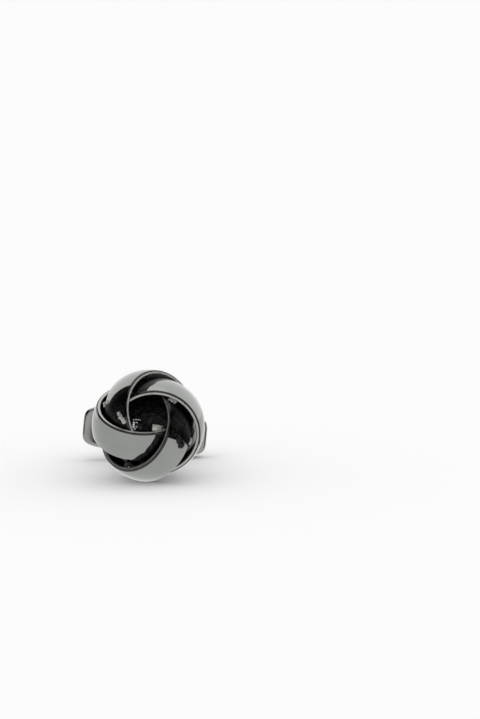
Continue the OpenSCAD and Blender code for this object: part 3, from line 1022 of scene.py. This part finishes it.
def strip_sheet():
    stations = strip_stations()
    row = STRIP_COLUMNS + 1
    verts, faces = [], []
    for along in stations:
        depth, height = strip_place(along)
        width = strip_half_width(along)
        verts += [(width * (2 * c / STRIP_COLUMNS - 1), depth, height) for c in range(row)]
    for i in range(len(stations) - 1):
        for c in range(STRIP_COLUMNS):
            first = i * row + c
            faces.append((first, first + 1, first + row + 1, first + row))
    return verts, faces


def thicken(sheet):
    solid = sheet.modifiers.new("thick", "SOLIDIFY")
    solid.thickness = ARM_THICK * MM
    solid.offset = 0
    settle(sheet)


def round_edges(target):
    rounded = target.modifiers.new("edges", "BEVEL")
    rounded.width = STRIP_ROUND * MM
    rounded.segments = STRIP_ROUND_STEPS
    rounded.limit_method = "ANGLE"
    rounded.angle_limit = math.radians(STRIP_EDGE_ANGLE)
    rounded.harden_normals = False
    settle(target)


strip = piece("forked_strip", strip_sheet(), POST, "head", ["post_fork"], [plating])
thicken(strip)
cut(strip, "pin_bore", cylinder(PIN_RADIUS + BORE_ROOM, FORK_HALF + CUT_BEYOND), PIN_PLACE)
round_edges(strip)
finish_shading(strip, STRIP_SHARP)

# The hinge pin

# It is round in the arms, with peened, slightly domed ends, and square inside the toggle.
DOME = 0.05
DOME_LOW = 0.03
DOME_ANGLES = (15, 30, 45, 60, 75, 88)
PIN_STEPS = 64
HALF_FLAT = LEAF_WIDTH / 2 + PIN_RADIUS


def pin_end(way):
    section = [(0, FORK_HALF + DOME)]
    section += [(PIN_RADIUS * sin(angle), FORK_HALF - DOME_LOW + (DOME + DOME_LOW) * cos(angle))
                for angle in DOME_ANGLES]
    section += [(PIN_RADIUS, FORK_HALF - 2 * DOME_LOW), (PIN_RADIUS, HALF_FLAT), (0, HALF_FLAT)]
    return turned([(radius, way * height) for radius, height in section], PIN_STEPS)


def pin_middle():
    return block((-PIN_FLAT, -PIN_FLAT, -HALF_FLAT), (PIN_FLAT, PIN_FLAT, HALF_FLAT))


piece("peened_pin", join([(0, pin_end(-1)), (0, pin_end(1)), (0, pin_middle())]), PIN_PLACE,
      "head", ["hinge_pin"], [steel])

# The toggle

# Depths count from the pin's middle towards the toggle's back.
SEAM = 0.05
SEAM_PART = 0.3
FINE_STEPS = 4000
RIM_STEPS = 224
ROUNDING_STEPS = 8
FACE_RINGS = (0.4, 0.8, 0.97)
INNER_RING = 0.5
WALL_RINGS = (-0.95, -0.5, 0, 0.5)


def toggle_outline(inset):
    """The toggle's squared ellipse, drawn in by an inset, in points at even distances."""
    half_length, half_width = TOGGLE_LENGTH / 2 - inset, TOGGLE_WIDTH / 2 - inset
    fine = []
    for i in range(FINE_STEPS):
        angle = 2 * math.pi * i / FINE_STEPS
        along, across = math.cos(angle), math.sin(angle)
        fine.append((half_length * math.copysign(abs(along) ** (2 / OUTLINE_POWER), along),
                     half_width * math.copysign(abs(across) ** (2 / OUTLINE_POWER), across)))
    steps = [math.dist(fine[i], fine[(i + 1) % FINE_STEPS]) for i in range(FINE_STEPS)]
    total = sum(steps)
    points, passed, k = [], 0.0, 0
    for i in range(RIM_STEPS):
        goal = total * i / RIM_STEPS
        while passed + steps[k] < goal:
            passed += steps[k]
            k += 1
        points.append(mix(fine[k], fine[(k + 1) % FINE_STEPS], (goal - passed) / steps[k]))
    return points


def toggle_shell(rings):
    """A closed skin through rings of (inset, depth, share of the outline's size)."""
    outlines = {inset: toggle_outline(inset) for inset, depth, share in rings}
    verts, faces = [], []
    for inset, depth, share in rings:
        verts += [(x * share, depth, z * share) for x, z in outlines[inset]]
    for ring in range(len(rings) - 1):
        here, ahead = ring * RIM_STEPS, (ring + 1) * RIM_STEPS
        for j in range(RIM_STEPS):
            k = (j + 1) % RIM_STEPS
            faces.append((here + j, here + k, ahead + k, ahead + j))
    faces.append(tuple(range(RIM_STEPS)))
    faces.append(tuple(reversed(range(len(verts) - RIM_STEPS, len(verts)))))
    return verts, faces


def face_rings(face, inwards):
    """Rings from the middle of a flat face round to the side wall. Inwards is 1 where depth
    grows from the face into the toggle."""
    rings = [(SHELL_ROUND, face, share) for share in FACE_RINGS]
    for i in range(ROUNDING_STEPS + 1):
        angle = 90 * i / ROUNDING_STEPS
        rings.append((SHELL_ROUND * (1 - sin(angle)),
                      face + inwards * SHELL_ROUND * (1 - cos(angle)), 1))
    return rings


def front_rings():
    floor_depth = SHELL_WALL - TOGGLE_FRONT
    rings = face_rings(-TOGGLE_FRONT, 1)
    rings += [(0, depth, 1) for depth in (*WALL_RINGS, TOGGLE_RIM - SEAM)]
    rings += [(SEAM * SEAM_PART, TOGGLE_RIM - SEAM * SEAM_PART, 1), (SEAM, TOGGLE_RIM, 1)]
    rings += [(SHELL_WALL, TOGGLE_RIM, 1), (SHELL_WALL, floor_depth, 1)]
    return rings + [(SHELL_WALL, floor_depth, INNER_RING)]


def back_rings():
    plug, plug_depth = SHELL_WALL + PLUG_ROOM, TOGGLE_RIM - PLUG_RISE
    rings = face_rings(TOGGLE_BACK, -1)
    rings += [(0, TOGGLE_RIM + SEAM, 1), (SEAM * SEAM_PART, TOGGLE_RIM + SEAM * SEAM_PART, 1)]
    rings += [(SEAM, TOGGLE_RIM, 1), (plug, TOGGLE_RIM, 1), (plug, plug_depth, 1)]
    return rings + [(plug, plug_depth, INNER_RING)]


toggle_front = piece("toggle_front_pressing", toggle_shell(front_rings()), PIN_PLACE, "toggle",
                     ["toggle_front_shell"], [plating])
cut(toggle_front, "pin_hole", cylinder(PIN_RADIUS + RUNNING_ROOM, TOGGLE_WIDTH), PIN_PLACE)
finish_shading(toggle_front)
piece("toggle_back_pressing", toggle_shell(back_rings()), PIN_PLACE, "toggle",
      ["toggle_back_shell"], [plating])

# The spring keeps the part's own mesh.
for slot in frame["nodes"]["detent_spring"].material_slots:
    slot.material = steel

# The floor

# In the polished metal the table shows as an even white sheet. Its edge runs slantwise past
# the front right of the cufflink, and the table beyond that is dark.
FLOOR_SIZE = 6
FLOOR_DROP = 0.00002
FLOOR_WHITE = 0.97
FLOOR_ROUGHNESS = 0.9
SHEET_SLANT = 0.65
SHEET_END = 0.012
SHEET_BACK = -0.001
SHEET_SOFT = 0.001
TABLE_DARK = 0.02


def white_sheet(tree):
    """1 where the sheet lies and almost 0 on the dark table."""
    where = add(tree, "ShaderNodeTexCoord")
    split = add(tree, "ShaderNodeSeparateXYZ")
    tree.links.new(where.outputs["Object"], split.inputs["Vector"])
    x, y = split.outputs["X"], split.outputs["Y"]
    slant = calculate(tree, "MULTIPLY_ADD", y, SHEET_SLANT, x)
    near = span(tree, slant, 1.0, TABLE_DARK, SHEET_END - SHEET_SOFT, SHEET_END + SHEET_SOFT)
    far = span(tree, y, TABLE_DARK, 1.0, SHEET_BACK - SHEET_SOFT, SHEET_BACK + SHEET_SOFT)
    return calculate(tree, "MAXIMUM", near, far)


def floor_white():
    """Matt white, but the sheet and the dark table where the metal mirrors it."""
    material, tree = new_material("floor_white")
    output = add(tree, "ShaderNodeOutputMaterial")
    matt = add(tree, "ShaderNodeBsdfPrincipled")
    matt.inputs["Roughness"].default_value = FLOOR_ROUGHNESS
    matt.inputs["Specular IOR Level"].default_value = 0.0
    matt.inputs["Base Color"].default_value = (FLOOR_WHITE, FLOOR_WHITE, FLOOR_WHITE, 1)
    sheet = add(tree, "ShaderNodeEmission")
    sheet.inputs["Color"].default_value = (1, 1, 1, 1)
    tree.links.new(white_sheet(tree), sheet.inputs["Strength"])
    path = add(tree, "ShaderNodeLightPath")
    seen = add(tree, "ShaderNodeMixShader")
    tree.links.new(path.outputs["Is Glossy Ray"], seen.inputs["Fac"])
    tree.links.new(matt.outputs["BSDF"], seen.inputs[1])
    tree.links.new(sheet.outputs["Emission"], seen.inputs[2])
    tree.links.new(seen.outputs["Shader"], output.inputs["Surface"])
    return material


bpy.ops.mesh.primitive_plane_add(size=FLOOR_SIZE, location=(0, 0, CAD_BOX[0][2] - FLOOR_DROP))
floor = bpy.context.object
floor.name = "floor"
floor.data.materials.append(floor_white())

# The light

# The polished metal mirrors a dark room with a bright back that reaches round to the right, a
# light front that low down reaches round to the left, a lamp overhead and three light bars.
# All else is lit evenly, and the background is white. Bearings count from the camera's side,
# and heights are sines.
LAMP = 1.45
BACK = 1.3
FRONT = 1.0
BAR = 1.2
DARK = 0.02
# The borders of these lights, each with half the width of its soft step
LAMP_FROM = (sin(62), 0.03)
BACK_FROM = (math.radians(127), 0.04)
FRONT_TO = (math.radians(38), 0.06)
FRONT_TOP = (sin(21), 0.05)
LEFT_TOP = (sin(8), 0.04)
RIGHT_FROM = (math.radians(104), 0.04)
HIGH_RIGHT_FROM = (math.radians(62), 0.06)
HIGH_RIGHT_LOW = (sin(46), 0.04)
BAR_TO = (math.radians(28), 0.06)
BAR_LOW = (sin(38), 0.02)
BAR_TOP = (sin(46), 0.02)
SIDE_FROM = (math.radians(68), 0.05)
SIDE_TO = (math.radians(94), 0.05)
SIDE_LOW = (sin(4), 0.03)
SIDE_TOP = (sin(28), 0.03)
RIGHT_HALF = (0.0, 0.1)
# How bright the bar at the left side is, as a share of the one at the right
SIDE_LEFT = 0.5


def mirrored_light(tree):
    """How bright the surroundings are in each direction."""
    where = add(tree, "ShaderNodeTexCoord")
    split = add(tree, "ShaderNodeSeparateXYZ")
    tree.links.new(where.outputs["Generated"], split.inputs["Vector"])
    x, y, height = split.outputs["X"], split.outputs["Y"], split.outputs["Z"]

    def times(first, second):
        return calculate(tree, "MULTIPLY", first, second)

    def brighter(first, second):
        return calculate(tree, "MAXIMUM", first, second)

    def beyond(value, border):
        """0 before a border and 1 beyond it."""
        place, soft = border
        step = add(tree, "ShaderNodeMapRange", interpolation_type="SMOOTHSTEP")
        step.inputs["From Min"].default_value = place - soft
        step.inputs["From Max"].default_value = place + soft
        tree.links.new(value, step.inputs["Value"])
        return step.outputs["Result"]

    def before(value, border):
        return calculate(tree, "SUBTRACT", 1.0, beyond(value, border))

    def within(value, start, end):
        return calculate(tree, "SUBTRACT", beyond(value, start), beyond(value, end))

    bearing = calculate(tree, "ABSOLUTE", calculate(tree, "ARCTAN2", x, times(y, -1.0)))
    on_right = beyond(x, RIGHT_HALF)
    high_right = times(beyond(bearing, HIGH_RIGHT_FROM), beyond(height, HIGH_RIGHT_LOW))
    right = times(brighter(beyond(bearing, RIGHT_FROM), high_right), on_right)
    back = times(brighter(beyond(bearing, BACK_FROM), right), BACK)
    front = times(times(before(bearing, FRONT_TO), before(height, FRONT_TOP)), FRONT)
    left = times(before(x, RIGHT_HALF), before(height, LEFT_TOP))
    bar = times(within(height, BAR_LOW, BAR_TOP), before(bearing, BAR_TO))
    side_bars = times(within(height, SIDE_LOW, SIDE_TOP), within(bearing, SIDE_FROM, SIDE_TO))
    side_share = calculate(tree, "MULTIPLY_ADD", on_right, 1 - SIDE_LEFT, SIDE_LEFT)
    bars = times(brighter(bar, times(side_bars, side_share)), BAR)
    lamp = times(beyond(height, LAMP_FROM), LAMP)
    lights = brighter(back, brighter(brighter(front, left), bars))
    return brighter(lights, brighter(lamp, DARK))


def studio():
    """A white world that shows its lights only in reflections."""
    world = bpy.data.worlds.new("studio")
    world.use_nodes = True
    tree = world.node_tree
    tree.nodes.clear()
    path = add(tree, "ShaderNodeLightPath")
    strength = add(tree, "ShaderNodeMix")
    strength.inputs[2].default_value = 1.0
    tree.links.new(path.outputs["Is Glossy Ray"], strength.inputs["Factor"])
    tree.links.new(mirrored_light(tree), strength.inputs[3])
    light = add(tree, "ShaderNodeBackground")
    light.inputs["Color"].default_value = (1, 1, 1, 1)
    tree.links.new(strength.outputs[0], light.inputs["Strength"])
    output = add(tree, "ShaderNodeOutputWorld")
    tree.links.new(light.outputs["Background"], output.inputs["Surface"])
    return world


bpy.context.scene.world = studio()

# The camera

# It looks between the pair, so the left cufflink stands left of and below the middle.
PICTURE_WIDTH = 480
PICTURE_HEIGHT = 719
KNOT_PIXEL_X = 148.3
KNOT_PIXEL_Y = 425.3
PIXELS_PER_MM = 7.6
DISTANCE = 0.4
SENSOR = 36.0
NEAREST = 0.01
FARTHEST = 20
# How the knot is turned as the camera sees it
VIEW = turn(-0.21, "Y") @ turn(-16.7, "X") @ turn(-4.31, "Z")


def make_camera():
    focal_pixels = PIXELS_PER_MM / MM * DISTANCE
    data = bpy.data.cameras.new("camera")
    data.lens = focal_pixels * SENSOR / PICTURE_HEIGHT
    data.sensor_width = SENSOR
    data.sensor_fit = "AUTO"
    data.clip_start = NEAREST
    data.clip_end = FARTHEST
    camera = bpy.data.objects.new("camera", data)
    bpy.context.scene.collection.objects.link(camera)
    facing = (KNOT.to_quaternion() @ VIEW.inverted().to_quaternion()).to_matrix().to_4x4()
    aim_x = math.atan((PICTURE_WIDTH / 2 - KNOT_PIXEL_X) / focal_pixels)
    aim_y = math.atan((KNOT_PIXEL_Y - PICTURE_HEIGHT / 2) / focal_pixels)
    camera.matrix_world = (Matrix.Translation(KNOT_MIDDLE) @ facing
                           @ Matrix.Translation((0, 0, DISTANCE))
                           @ Matrix.Rotation(-aim_x, 4, "Y") @ Matrix.Rotation(aim_y, 4, "X"))
    return camera


bpy.context.scene.camera = make_camera()
bpy.context.scene.view_settings.view_transform = "Standard"

bpy.context.view_layer.update()
